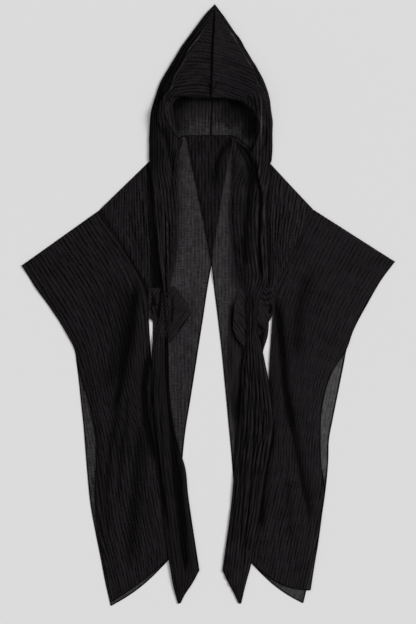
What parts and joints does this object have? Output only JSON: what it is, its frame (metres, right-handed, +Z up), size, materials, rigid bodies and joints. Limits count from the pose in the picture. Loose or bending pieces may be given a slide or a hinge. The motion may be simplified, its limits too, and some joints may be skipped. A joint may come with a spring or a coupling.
{
  "type": "hooded jacket",
  "caption": "Long open hooded jacket of crinkled black cotton gauze with a pointed hood and wide winged sleeves, laid flat with its front up.",
  "frame": {"origin": "on the surface that the garment lies on, under the middle of its bounding box", "axes": "+Z up out of the surface, +Y from the hems towards the point of the hood, +X to the right as seen from above with the hood away from the viewer"},
  "size_m": [1.08, 1.74, 0.0209],
  "materials": {
    "crinkle_cotton": "matt crinkled double gauze, sheer where it lies in one layer"
  },
  "bodies": {
    "root": {"back_left": "crinkle_cotton", "back_right": "crinkle_cotton", "front_left": "crinkle_cotton", "front_right": "crinkle_cotton", "sleeve_left": "crinkle_cotton", "sleeve_right": "crinkle_cotton", "pocket_left": "crinkle_cotton", "pocket_right": "crinkle_cotton", "lapel_left": "crinkle_cotton", "lapel_right": "crinkle_cotton", "hood_left": "crinkle_cotton", "hood_right": "crinkle_cotton"}
  },
  "joints": []
}
